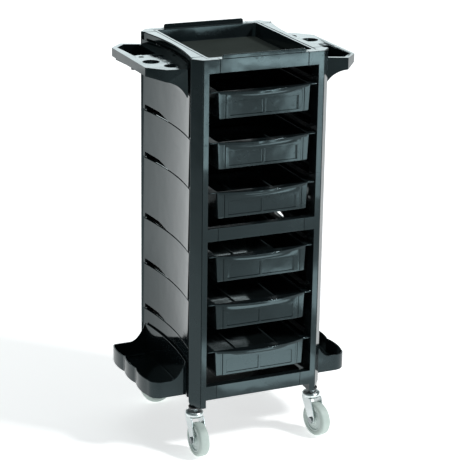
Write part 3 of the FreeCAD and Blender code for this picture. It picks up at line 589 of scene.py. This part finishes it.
def drawer_rings(rim):
    """From the middle of the underside, up the outside, over the lip, down to the floor."""
    floor = rim - drawer_height
    lip = lip_outline()
    normal = outward(lip)
    down = np.full(len(lip), RIM_THICK)
    middle = np.linspace(-1, 1, FRONT_POINTS)
    down[:FRONT_POINTS] += (LIP_DROP - RIM_THICK) * np.clip((1 - np.abs(middle)) * 25, 0, 1)

    def tub(half, drawn, corner, z):
        flat = tub_outline(half, drawn, corner)
        return np.column_stack([flat, np.full(len(flat), z)])

    def edge(inset, z):
        return np.column_stack([lip - normal * inset, np.broadcast_to(z, len(lip))])

    low_half = TUB_HALF - TUB_TAPER
    inner, inner_low = TUB_HALF - TUB_WALL, low_half - TUB_WALL
    inside = TUB_WALL
    return [
        tub(low_half - 2.0, 2.0, 2.0, floor), tub(low_half - 0.6, 0.6, 3.0, floor + 0.6),
        tub(low_half, 0.0, 3.5, floor + 2.0), tub(TUB_HALF, 0.0, 3.5, rim - RIM_THICK + 0.2),
        edge(TUB_WALL, rim - RIM_THICK + 0.5), edge(TUB_WALL, rim - down),
        edge(TUB_WALL - 0.5, rim - down - 0.0001), edge(0.5, rim - down - 0.0001),
        edge(0.1, rim - down + 0.2), edge(0.0, rim - down + 0.6),
        edge(0.0, rim - 1.1), edge(0.15, rim - 0.5), edge(0.5, rim - 0.1), edge(1.1, rim),
        tub(inner + 0.9, inside - 0.9, 3.2, rim), tub(inner + 0.3, inside - 0.3, 3.2, rim - 0.25),
        tub(inner, inside, 3.0, rim - 0.9), tub(inner_low + 0.2, inside, 3.0, floor + TUB_WALL + 4.0),
        tub(inner_low - 0.5, inside + 0.6, 3.0, floor + TUB_WALL + 1.6),
        tub(inner_low - 1.8, inside + 1.9, 2.5, floor + TUB_WALL + 0.4),
        tub(inner_low - 4.0, inside + 4.0, 2.0, floor + TUB_WALL),
    ]


# %% Drawer front panel, strips and floor rib
PANEL_HALF = 86.5
PANEL_RAISE = 1.6
PANEL_EDGE = 1.4
RIB_HALF = 2.0
RELIEF_SINK = 1.2
FIELD_HALF = 77.5
FIELD_DEPTH = 1.4
FIELD_DISH = 1.0
FIELD_TOP, FIELD_BOTTOM = 22.0, 52.0
COVE = 5.5
STRIP_IN, STRIP_OUT = 90.5, 103.9
STRIP_RAISE = 1.1


def ease(distance, width):
    """0 at the border, 1 from the width inward, along a quarter circle."""
    t = np.clip(distance / width, 0, 1)
    return np.sqrt(1 - (1 - t) ** 2)


def relief(x, z, height, back):
    """Grid over x and z as a raised plate: its face from height(x, z), its back at one depth."""
    grid_x, grid_z = np.meshgrid(x, z)
    y = height(grid_x, grid_z)
    rows, columns = grid_x.shape
    points = np.stack([grid_x, y, grid_z], axis=2).reshape(-1, 3)
    index = np.arange(rows * columns).reshape(rows, columns)
    quads = np.stack([index[:-1, :-1], index[:-1, 1:], index[1:, 1:], index[1:, :-1]], axis=2)
    rim = np.concatenate([index[0, :-1], index[:-1, -1], index[-1, :0:-1], index[:0:-1, 0]])
    behind = points[rim].copy()
    behind[:, 1] = back
    place = len(points) + np.arange(len(rim))
    sides = np.stack([rim, place, np.roll(place, -1), np.roll(rim, -1)], axis=1)
    faces = quads.reshape(-1, 4).tolist() + sides.tolist() + [place[::-1].tolist()]
    return np.concatenate([points, behind]), faces


def stops(*spans):
    """Grid lines bunched at the edges: each span is (start, stop, count)."""
    return np.unique(np.concatenate([np.linspace(*span) for span in spans]).round(3))


def front_panel(rim):
    """Raised panel with quarter-round edges and a rib between two fields, each dished by
    4 d s (1 - s) where s runs from the rib to the field's end. Under the lip the face swings
    forward as a cove, c t^2 with t climbing from the field to the lip."""
    low, high = rim - drawer_height + 0.3, rim - RIM_THICK + 0.4
    base, sill = rim - FIELD_BOTTOM, rim - FIELD_TOP
    side = stops(
        (RIB_HALF, RIB_HALF + 1, 3), (RIB_HALF + 1, FIELD_HALF - 1, 16), (FIELD_HALF - 1, FIELD_HALF, 4),
        (FIELD_HALF, PANEL_HALF - PANEL_EDGE, 3), (PANEL_HALF - PANEL_EDGE, PANEL_HALF, 6),
    )
    x = np.concatenate([-side[::-1], side])
    z = stops(
        (low, low + PANEL_EDGE, 6), (low + PANEL_EDGE, base, 2), (base, base + 1, 4),
        (base + 1, sill - 1, 8), (sill - 1, sill, 4), (sill, high - 1, 12), (high - 1, high, 3),
    )

    def height(gx, gz):
        from_middle = np.abs(gx)
        edge = ease(PANEL_HALF - from_middle, PANEL_EDGE) * ease(gz - low, PANEL_EDGE)
        field = np.clip(FIELD_HALF - from_middle, 0, 1) * np.clip(from_middle - RIB_HALF, 0, 1)
        field = field * np.clip(gz - base, 0, 1) * np.clip(sill - gz, 0, 1)
        climb = np.clip((gz - sill - 2) / (high - sill - 2), 0, 1)
        cove = COVE * climb ** 2 * (1 - (gx / PANEL_HALF) ** 2)
        share = np.clip(from_middle / FIELD_HALF, 0, 1)
        dish = 4 * share * (1 - share)
        return drawer_front - PANEL_RAISE * edge - cove + (FIELD_DEPTH + FIELD_DISH * dish) * field
    return relief(x, z, height, drawer_front + RELIEF_SINK)


def corner_strip(rim):
    """Narrow raised strip beside the panel; its outer edge follows the tub's taper."""
    low, high = rim - drawer_height + 1.5, rim - RIM_THICK + 0.4
    wide = STRIP_OUT - STRIP_IN
    across = stops((0, 1, 5), (1, wide - 1, 3), (wide - 1, wide, 5))
    z = stops((low, low + 1, 5), (low + 1, high, 7))

    def height(gx, gz):
        edge = ease(gx - STRIP_IN, 1.0) * ease(STRIP_OUT - gx, 1.0) * ease(gz - low, 1.0)
        return drawer_front - STRIP_RAISE * edge
    points, faces = relief(STRIP_IN + across, z, height, drawer_front + RELIEF_SINK)
    share = (points[:, 0] - STRIP_IN) / wide
    points[:, 0] -= share * TUB_TAPER * (rim - points[:, 2]) / drawer_height
    return points, faces


def drawer_shape(rim):
    """Tub with its lip, front panel, two strips and the rib along its floor."""
    floor = rim - drawer_height + TUB_WALL
    rib = slab(-1.5, 1.5, drawer_front + 3, drawer_back - 3, floor - 1, floor + 3, 0.5, 0.9)
    strip = corner_strip(rim)
    return join(skin(drawer_rings(rim)), front_panel(rim), strip, mirrored(strip, 0), rib)


for number, rim in enumerate(drawer_rims, start=1):
    name = f"drawer_{number}"
    put(f"{name}_skin", drawer_shape(rim), gloss_black, name, name)
print("drawer rims at", [round(rim, 1) for rim in drawer_rims])


# %% [markdown]
# ## The upper holders
# The holder's plate has four round holes of different sizes and a deep well, and hooks over
# the panel with a back flange. A plan with holes isn't a ring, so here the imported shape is
# copied, its loose triangles are merged, flat areas are dissolved, and a bevel softens edges.

# %% Upper holders
def softened_copy(name, node_name, width, material, body):
    """A welded copy of a node with its flat areas as single faces and its edges bevelled."""
    mesh = frame["nodes"][node_name].data.copy()
    mesh.name = name
    shape = bmesh.new()
    shape.from_mesh(mesh)
    bmesh.ops.remove_doubles(shape, verts=shape.verts, dist=0.00001)
    bmesh.ops.dissolve_limit(shape, angle_limit=math.radians(2), verts=shape.verts, edges=shape.edges)
    bmesh.ops.recalc_face_normals(shape, faces=shape.faces)
    shape.to_mesh(mesh)
    shape.free()
    mesh.materials.clear()
    mesh.materials.append(material)
    mesh.shade_smooth()
    mesh.set_sharp_from_angle(angle=math.radians(SHARP))
    piece = bpy.data.objects.new(name, mesh)
    bpy.context.scene.collection.objects.link(piece)
    bevel = piece.modifiers.new("soft edges", "BEVEL")
    bevel.width = width * MM
    bevel.segments = 3
    bevel.limit_method = "ANGLE"
    bevel.angle_limit = math.radians(35)
    bevel.harden_normals = True
    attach(piece, body)
    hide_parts(node_name)
    return piece


for side in ("left", "right"):
    softened_copy(f"upper_holder_{side}_skin", f"upper_holder_{side}", 0.7, gloss_black, "cabinet")
print("holders softened")


# %% [markdown]
# ## The lower side trays
# An open bin hooks into each panel. Seen from above its outer wall runs in three shallow
# bays; seen from the end its rim sweeps down from the back wall. So the plan outline is
# carried up to a rim whose height depends on how far out each point lies.

# %% Lower side trays
BIN_FRONT, BIN_REAR = 125.0, 118.0
BIN_CORNER = 26.0
BAY_SAG = 5.0
BIN_WALL = 2.5
SCOOP_START, SCOOP_RUN = 156.5, 36.0
bin_low, bin_high = box_mm("lower_tray_right")
bin_top, bin_floor = bin_high[2], bin_low[2]
OUTER_RIM = 166.0
TAB_SPREAD, TAB_HALF = 60.0, 10.0
TAB_BELOW, TAB_THICK, TAB_HOOK = 24.0, 3.0, 10.0
hug = panel_high[0] + 0.6


def bin_outline():
    """Plan of the right bin, counter-clockwise: front wall, round corner, bays, rear, back."""
    outer = bin_high[0] - BAY_SAG
    front_x, rear_x = hug - bend(BIN_FRONT), hug - bend(BIN_REAR)
    front = np.column_stack([np.linspace(front_x, outer - BIN_CORNER, 30), np.full(30, -BIN_FRONT)])
    turn = np.linspace(0, math.pi / 2, 10)[1:]
    corner = np.column_stack([
        outer - BIN_CORNER + BIN_CORNER * np.sin(turn), -BIN_FRONT + BIN_CORNER * (1 - np.cos(turn)),
    ])
    start, stop = -BIN_FRONT + BIN_CORNER, BIN_REAR - 5
    bay = np.linspace(0, 3, 37)[1:]
    swell = BAY_SAG * 4 * (bay % 1) * (1 - bay % 1)
    bays = np.column_stack([outer + swell, start + (stop - start) * bay / 3])
    rear = np.column_stack([np.linspace(outer - 5, rear_x, 32), np.full(32, BIN_REAR)])
    depths = np.linspace(BIN_REAR, -BIN_FRONT, 25)[1:-1]
    back = np.column_stack([hug - bend(depths), depths])
    return np.concatenate([front, corner, bays, rear, back])


def bin_shape():
    """The outline carried up the outside, over the swept rim, down inside to the floor."""
    plan = bin_outline()
    share = np.clip((plan[:, 0] - SCOOP_START) / SCOOP_RUN, 0, 1)
    rim = OUTER_RIM + (bin_top - 4 - OUTER_RIM) * (1 - share) ** 2.2
    rim = np.where(plan[:, 0] < SCOOP_START - 0.5, bin_top, rim)
    floor = bin_floor + BIN_WALL
    shell = carry(plan, [
        (2.4, bin_floor), (0.8, bin_floor + 0.6), (0.0, bin_floor + 2.2), (0.0, rim - 1.0),
        (0.3, rim - 0.3), (0.9, rim), (BIN_WALL - 0.9, rim), (BIN_WALL - 0.3, rim - 0.3),
        (BIN_WALL, rim - 1.0), (BIN_WALL, floor + 4.0), (BIN_WALL + 0.9, floor + 1.4),
        (BIN_WALL + 3.0, floor),
    ])
    tabs = []
    tab_top = bin_top - TAB_BELOW
    for y in (-TAB_SPREAD, TAB_SPREAD):
        left, right = y - TAB_HALF, y + TAB_HALF
        reach = hug - PANEL_SAG + 2.4
        tabs.append(slab(bin_low[0], reach, left, right, tab_top - TAB_THICK, tab_top, 0.8, 0.6))
        hooked = bin_low[0] + TAB_THICK
        tabs.append(slab(bin_low[0], hooked, left, right, tab_top - TAB_HOOK, tab_top, 0.8, 0.6))
    return join(shell, *tabs)


right_bin = bin_shape()
put("lower_tray_right_skin", right_bin, gloss_black, "cabinet", "lower_tray_right")
put("lower_tray_left_skin", mirrored(right_bin, 0), gloss_black, "cabinet", "lower_tray_left")
print("bins from", bin_floor, "to", bin_top)


# %% [markdown]
# ## The castors
# Each castor has a plated head and fork, a bolt, a pale hub and a grey tyre. Round parts are
# a profile turned about the axle. The fork's legs are flat outlines with softened edges.
# Everything is made around a stem at the origin, then turned and moved to its own stem.

# %% Castor shapes
WHEEL_R = 37.5
HALF_WIDTH = 11.5
HUB_R = 27.0
TRAIL = 22.0
HEAD_TOP, HEAD_LOW = 97.5, 83.5
HEAD_R, PIN_BORE = 20.0, 5.1
FORK_IN, FORK_OUT = 13.0, 15.5
BOLT_R, BOLT_HEX = 4.0, 13.0
AROUND = 72


def turned_about(profile, axis, centre):
    """A closed profile of (along, radius) turned about the x or the z axis: each ring point
    lies at radius (cos t, sin t) around the centre."""
    profile = np.asarray(profile, float)
    t = np.linspace(0, 2 * math.pi, AROUND, endpoint=False)[:, None]
    along = np.broadcast_to(profile[:, 0], (AROUND, len(profile)))
    c, s = np.cos(t) * profile[:, 1], np.sin(t) * profile[:, 1]
    columns = [along, c, s] if axis == "x" else [c, s, along]
    points = (np.stack(columns, axis=2) + np.array(centre)).reshape(-1, 3)
    index = np.arange(AROUND * len(profile)).reshape(AROUND, len(profile))
    ahead, over = np.roll(index, -1, axis=0), np.roll(index, -1, axis=1)
    both = np.roll(ahead, -1, axis=1)
    quads = np.stack([index, over, both, ahead], axis=2).reshape(-1, 4)
    return points, quads.tolist()


AXLE = (0.0, -TRAIL, WHEEL_R)


def tyre_shape():
    """Grey tyre: flat sides, rounded shoulders and a slightly crowned tread."""
    t = np.linspace(0, math.pi / 2, 7)
    shoulder = np.column_stack([HALF_WIDTH - 5.5 + 5.5 * np.cos(t), WHEEL_R - 5.9 + 5.5 * np.sin(t)])
    tread = np.linspace(5.0, -5.0, 7)
    crown = np.column_stack([tread, WHEEL_R - 0.4 + 0.4 * (1 - (tread / 5.5) ** 2)])
    far = shoulder[::-1] * np.array([-1, 1])
    bead = np.array([(HALF_WIDTH - 0.6, HUB_R), (HALF_WIDTH - 0.1, HUB_R + 0.5), (HALF_WIDTH, HUB_R + 1.5)])
    far_bead = bead[::-1] * np.array([-1, 1])
    profile = np.concatenate([bead, shoulder, crown, far, far_bead])
    return turned_about(profile[::-1], "x", AXLE)


def wheel_shape():
    """Pale hub: a boss round the axle, a sunken web with a step, and the rim."""
    sunk = np.array([
        (0, 4.2), (0, 8.2), (0.6, 9.0), (3.4, 10.2), (4.0, 11.2), (4.0, 16.0), (3.6, 16.4),
        (3.6, 19.6), (4.0, 20.0), (4.0, 22.6), (3.4, 23.2), (1.4, 23.8), (1.0, 24.4), (1.0, HUB_R),
    ])
    right = np.column_stack([HALF_WIDTH - sunk[:, 0], sunk[:, 1]])
    left = right[::-1] * np.array([-1, 1])
    return turned_about(np.concatenate([right, left])[::-1], "x", AXLE)


def head_shape():
    """Plated swivel head: a domed disc with a rolled lower edge round the race."""
    profile = [
        (HEAD_TOP, PIN_BORE), (HEAD_TOP, 9.5), (HEAD_TOP - 0.2, 13.0), (HEAD_TOP - 0.9, 15.6),
        (HEAD_TOP - 2.4, 18.2), (HEAD_TOP - 4.4, 19.6), (HEAD_TOP - 6.6, HEAD_R),
        (HEAD_TOP - 9.0, HEAD_R), (HEAD_TOP - 10.2, HEAD_R - 0.5), (HEAD_TOP - 11.0, HEAD_R - 1.4),
        (HEAD_LOW + 1.2, HEAD_R - 2.4), (HEAD_LOW, HEAD_R - 3.4), (HEAD_LOW, PIN_BORE),
    ]
    return turned_about(profile, "z", (0, 0, 0))


def leg_shape():
    """One fork leg seen from the side, carried across its thickness with soft edges."""
    corners = [
        (-TRAIL - 8.5, WHEEL_R - 4.0), (-TRAIL, WHEEL_R - 9.0), (-TRAIL + 8.5, WHEEL_R - 4.0),
        (13.0, HEAD_LOW - 4.0), (14.0, HEAD_LOW + 2.0), (-17.0, HEAD_LOW + 2.0),
        (-TRAIL - 8.0, WHEEL_R + 12.0),
    ]
    outline = rounded(corners, [6.5, 8.0, 6.5, 4.0, 0.8, 0.8, 5.0], 7)
    return on_side(carry(outline, slab_levels(FORK_IN, FORK_OUT, 0.7)))


def hexagon_shape(across, start, stop, edge):
    """Hexagon across its flats, from start to stop along the axle."""
    turn = np.arange(6) * math.pi / 3
    flat = np.column_stack([np.cos(turn), np.sin(turn)]) * across / math.sqrt(3)
    outline = rounded(flat + np.array([-TRAIL, WHEEL_R]), 0.8, 3)
    return on_side(carry(outline, slab_levels(start, stop, edge)))


def bolt_shape():
    """Axle bolt: shaft, a hexagon head and a nut."""
    turn = np.linspace(0, 2 * math.pi, 32, endpoint=False)
    circle = np.column_stack([-TRAIL + BOLT_R * np.cos(turn), WHEEL_R + BOLT_R * np.sin(turn)])
    shaft = on_side(carry(circle, slab_levels(-FORK_OUT - 1, FORK_OUT + 1, 0.3)))
    head = hexagon_shape(BOLT_HEX, FORK_OUT + 0.01, FORK_OUT + 4.0, 0.9)
    return join(shaft, head, mirrored(head, 0))


# %% Castors in place
fork = join(head_shape(), leg_shape(), mirrored(leg_shape(), 0))
castor_pieces = {
    "fork": (fork, bright_zinc, "swivel"), "axle": (bolt_shape(), brushed_steel, "swivel"),
    "wheel": (wheel_shape(), pale_hub, "roller"), "tyre": (tyre_shape(), grey_tyre, "roller"),
}
for end in ("front", "rear"):
    for side in ("left", "right"):
        corner = f"castor_{end}_{side}"
        stem = np.array(joints[f"{corner}_swivel_joint"]["pos_m"]) / MM
        spin = joints[f"{corner}_wheel_spin"]["axis"]
        angle = math.degrees(math.atan2(spin[1], spin[0]))
        for kind, (shape, material, body) in castor_pieces.items():
            placed = turned(shape, angle, (stem[0], stem[1], 0))
            put(f"{corner}_{kind}_skin", placed, material, f"{corner}_{body}", f"{corner}_{kind}")
print("castors:", 4 * len(castor_pieces), "pieces")


# %% [markdown]
# ## Nodes that stay
# The runners, the base plate, the stems and their sockets already have the right shape. They
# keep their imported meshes, and only take a finish.

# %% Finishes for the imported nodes
for name, packed in frame["nodes"].items():
    if not packed.hide_render:
        material = satin_black
        if name == "castor_stems":
            material = brushed_steel
        if name == "castor_sockets":
            material = socket_black
        packed.data.materials.clear()
        packed.data.materials.append(material)
print("kept nodes:", [name for name, packed in frame["nodes"].items() if not packed.hide_render])


# %% [markdown]
# ## Floor, light and camera
# Black gloss shows only what it mirrors, and it gives back about a twentieth of that. So the
# room is built for its reflections. The floor is white, and a painted glow in its own emission,
# none in front of the cart and more the further back it lies, keeps the backdrop white behind
# the cart and lightens the shadow on it. A wide strip far behind brightens the tops, and a small
# lamp at the front right throws the shadow. The surround and the unglowing floor in front are
# dim, so the drawer fronts stay dark, and low cards and strips in front put the pale patches on them.

# %% Floor
# Painted glow: the floor's emission is zero in front of the cart and grows towards the back, along its
# depth.
FLOOR_PAINTED_GLOW_SPAN = (-1.0, 3.0)
FLOOR_PAINTED_GLOW = [(0.06, 0.0), (0.17, 0.62), (0.4, 0.68), (0.8, 0.9)]
floor_material = bpy.data.materials.new("studio_floor")
floor_material.use_nodes = True
floor_tree = floor_material.node_tree
floor_shader = floor_tree.nodes["Principled BSDF"]
floor_where = node(floor_tree, "ShaderNodeTexCoord", (-800, 0)).outputs["Object"]
floor_noise = node(floor_tree, "ShaderNodeTexNoise", (-600, 0), Scale=1.5, Detail=3.0)
floor_tree.links.new(floor_where, floor_noise.inputs["Vector"])
floor_colour = ramp(floor_tree, floor_noise.outputs["Fac"], (-400, 0), [(0.3, 0.84), (0.7, 0.86)])
floor_tree.links.new(floor_colour, floor_shader.inputs["Base Color"])
floor_shader.inputs["Roughness"].default_value = 0.9
floor_shader.inputs["Specular IOR Level"].default_value = 0.0
floor_split = node(floor_tree, "ShaderNodeSeparateXYZ", (-800, -300))
floor_tree.links.new(floor_where, floor_split.inputs["Vector"])
floor_run = node(floor_tree, "ShaderNodeMapRange", (-600, -300))
floor_run.inputs["From Min"].default_value = FLOOR_PAINTED_GLOW_SPAN[0]
floor_run.inputs["From Max"].default_value = FLOOR_PAINTED_GLOW_SPAN[1]
floor_tree.links.new(floor_split.outputs["Y"], floor_run.inputs["Value"])
# The painted glow is wired into the floor's emission here; no lamp gives it.
floor_painted_glow = ramp(floor_tree, floor_run.outputs["Result"], (-200, -300), FLOOR_PAINTED_GLOW)
floor_tree.links.new(floor_painted_glow, floor_shader.inputs["Emission Color"])
floor_shader.inputs["Emission Strength"].default_value = 1.0
FLOOR_HALF = 14.0
floor_mesh = bpy.data.meshes.new("floor")
corners = [(-FLOOR_HALF, -FLOOR_HALF, 0), (FLOOR_HALF, -FLOOR_HALF, 0)]
corners += [(FLOOR_HALF, FLOOR_HALF, 0), (-FLOOR_HALF, FLOOR_HALF, 0)]
floor_mesh.from_pydata(corners, [], [(0, 1, 2, 3)])
floor_mesh.materials.append(floor_material)
floor = bpy.data.objects.new("floor", floor_mesh)
bpy.context.scene.collection.objects.link(floor)


# %% Surround and lights
world = bpy.data.worlds.new("studio")
bpy.context.scene.world = world
world.use_nodes = True
world.node_tree.nodes["Background"].inputs["Color"].default_value = (0.78, 0.98, 1.0, 1)
world.node_tree.nodes["Background"].inputs["Strength"].default_value = 0.17


COOL = (0.88, 0.98, 1.0)


def softbox(name, place, target, size, power, colour=(1.0, 1.0, 1.0)):
    """Rectangular light at a place, turned to face a target; the camera doesn't see it."""
    data = bpy.data.lights.new(name, "AREA")
    data.shape = "RECTANGLE"
    data.size, data.size_y = size
    data.energy = power
    data.color = colour
    light = bpy.data.objects.new(name, data)
    light.location = place
    light.rotation_mode = "QUATERNION"
    light.rotation_quaternion = (Vector(target) - Vector(place)).to_track_quat("-Z", "Y")
    light.visible_camera = False
    bpy.context.scene.collection.objects.link(light)
    return light


softbox("key_overhead", (0.6, 0.9, 4.2), (0.0, 0.2, 0.0), (3.0, 3.0), 32.0)
softbox("key_front_right", (2.4, -2.4, 3.4), (0.0, 0.0, 0.1), (0.5, 0.5), 115.0)
softbox("far_strip", (3.6, 8.0, 2.7), (0.0, 0.0, 0.8), (6.5, 1.5), 70.0, COOL)
softbox("tray_card", (1.17, -2.6, 0.97), (0.0, 0.14, 0.86), (1.0, 0.3), 3.6, COOL)
softbox("bar_strip", (0.66, -1.4, 0.54), (0.36, -0.16, 0.7), (0.36, 0.07), 0.6, COOL)
softbox("left_glow", (0.40, -1.4, 0.39), (-0.1, -0.16, 0.6), (0.08, 0.28), 0.35, COOL)
softbox("right_glow", (0.73, -1.4, 0.33), (0.13, -0.16, 0.6), (0.14, 0.36), 0.5, COOL)
softbox("low_card", (0.19, -0.57, 0.012), (0.19, -0.57, 1.0), (0.30, 0.28), 0.75, COOL)
softbox("low_right", (0.57, -0.95, 0.012), (0.57, -0.95, 1.0), (0.26, 0.32), 0.9, COOL)

# %% Camera
AZIMUTH, ELEVATION, ROLL = -24.06, 18.55, 0.88
DISTANCE = 3.897
TARGET = Vector((0.008, 0.0, 0.436))
LENS = 137.0
a, e = math.radians(AZIMUTH), math.radians(ELEVATION)
back = Vector((math.sin(a) * math.cos(e), -math.cos(a) * math.cos(e), math.sin(e)))
camera_data = bpy.data.cameras.new("camera")
camera_data.lens = LENS
camera_data.sensor_width = 36.0
camera_data.clip_start, camera_data.clip_end = 0.05, 60.0
camera = bpy.data.objects.new("camera", camera_data)
camera.rotation_mode = "QUATERNION"
camera.location = TARGET + back * DISTANCE
camera.rotation_quaternion = (-back).to_track_quat("-Z", "Y") @ Quaternion((0, 0, 1), math.radians(ROLL))
bpy.context.scene.collection.objects.link(camera)
bpy.context.scene.camera = camera
bpy.context.scene.view_settings.view_transform = "Standard"
print("camera at", [round(v, 3) for v in camera.location])
